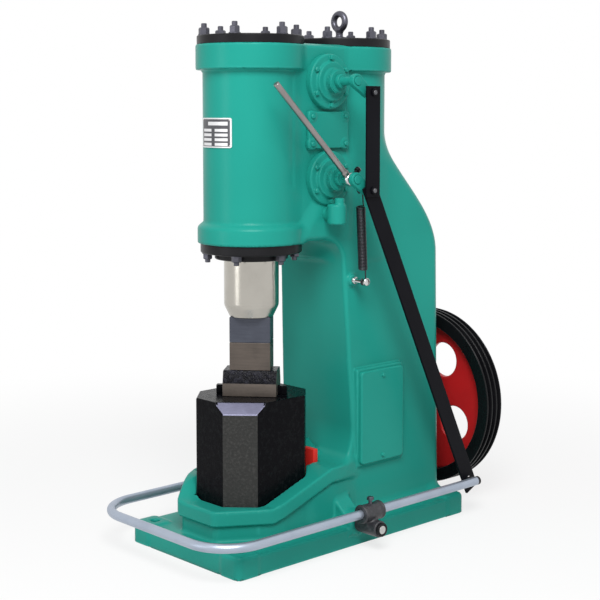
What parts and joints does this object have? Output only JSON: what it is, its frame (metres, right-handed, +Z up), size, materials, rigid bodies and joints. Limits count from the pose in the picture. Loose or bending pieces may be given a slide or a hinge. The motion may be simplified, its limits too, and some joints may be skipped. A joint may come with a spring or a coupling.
{
  "type": "pneumatic forging hammer",
  "caption": "Cast-frame pneumatic forging hammer: side-by-side cylinders, ram over a wedged anvil, rear belt flywheel, and a foot treadle linked to the air valves.",
  "frame": {"origin": "middle of the base plate's underside, on the floor", "axes": "+Z up, +X to the side with the valve gear and hand lever, -Y to the front with the anvil"},
  "size_m": [0.54, 0.9505, 1.24],
  "materials": {
    "green_paint": "gloss",
    "black_paint": "satin",
    "red_paint": "gloss",
    "die_steel": "ground",
    "anvil_black": "as cast",
    "polished_steel": "polished",
    "pipe_steel": "galvanised",
    "bright_steel": "turned",
    "plate_metal": "satin"
  },
  "bodies": {
    "frame": {"frame_casting": "green_paint", "anvil": "anvil_black", "rear_wedge": "red_paint", "side_wedge": "red_paint", "lower_die": "die_steel", "lower_die_key": "black_paint", "front_cylinder_cover": "black_paint", "rear_cylinder_cover": "black_paint", "lifting_eye": "black_paint", "ram_gland": "black_paint", "upper_valve_cover": "green_paint", "lower_valve_cover": "green_paint", "chest_cover": "green_paint", "exhaust_elbow": "green_paint", "side_cover": "green_paint", "data_plate": "plate_metal", "spring_stud": "bright_steel", "return_spring": "black_paint", "right_pivot_pin": "black_paint", "left_pivot_pin": "black_paint", "bearing_housing": "green_paint"},
    "ram_set": {"ram": "polished_steel", "upper_die": "die_steel", "upper_die_key": "black_paint"},
    "flywheel": {"flywheel_rim": "black_paint", "flywheel_web": "red_paint", "crankshaft_end": "bright_steel", "flywheel_nut": "black_paint"},
    "treadle": {"treadle_hoop": "pipe_steel", "right_tee": "black_paint", "left_tee": "black_paint", "rod_foot_pin": "black_paint"},
    "upper_valve": {"upper_spindle": "bright_steel", "upper_crank": "green_paint", "upper_crank_pin": "black_paint"},
    "lower_valve": {"lower_spindle": "bright_steel", "lower_crank": "green_paint", "knee_pin": "black_paint", "lever_hub": "bright_steel", "hand_lever": "bright_steel", "lever_screw": "black_paint"},
    "link": {"link_bar": "black_paint"},
    "rod": {"pull_rod": "black_paint"}
  },
  "joints": [
    {"name": "ram_slide", "type": "slide", "parent": "frame", "child": "ram_set", "axis": [0, 0, 1], "range_m": [0, 0.16]},
    {"name": "flywheel_spin", "type": "hinge", "parent": "frame", "child": "flywheel", "pos_m": [0, 0.444, 0.261], "axis": [0, 1, 0], "continuous": true},
    {"name": "treadle_press", "type": "hinge", "parent": "frame", "child": "treadle", "pos_m": [0, -0.008, 0.054], "axis": [1, 0, 0], "range_deg": [0, 5], "stiffness_Nm_per_rad": 80, "springref_deg": -14.32, "deforming": ["return_spring"]},
    {"name": "lower_valve_turn", "type": "hinge", "parent": "frame", "child": "lower_valve", "pos_m": [0.15, -0.025, 0.848], "axis": [1, 0, 0], "range_deg": [0, 55]},
    {"name": "upper_valve_turn", "type": "hinge", "parent": "frame", "child": "upper_valve", "pos_m": [0.15, -0.025, 1.068], "axis": [1, 0, 0], "range_deg": [0, 55]},
    {"name": "link_swing", "type": "hinge", "parent": "lower_valve", "child": "link", "pos_m": [0.215, 0.00979, 0.82273], "axis": [1, 0, 0], "range_deg": [-55, 0]},
    {"name": "rod_swing", "type": "hinge", "parent": "lower_valve", "child": "rod", "pos_m": [0.208, 0.00979, 0.82273], "axis": [1, 0, 0], "range_deg": [-56, 0]}
  ],
  "couplings": [
    {"joint": "lower_valve_turn", "follows": "treadle_press", "ratio": 10.8},
    {"joint": "upper_valve_turn", "follows": "treadle_press", "ratio": 10.8},
    {"joint": "link_swing", "follows": "treadle_press", "ratio": -10.8},
    {"joint": "rod_swing", "follows": "treadle_press", "ratio": -11.01}
  ]
}
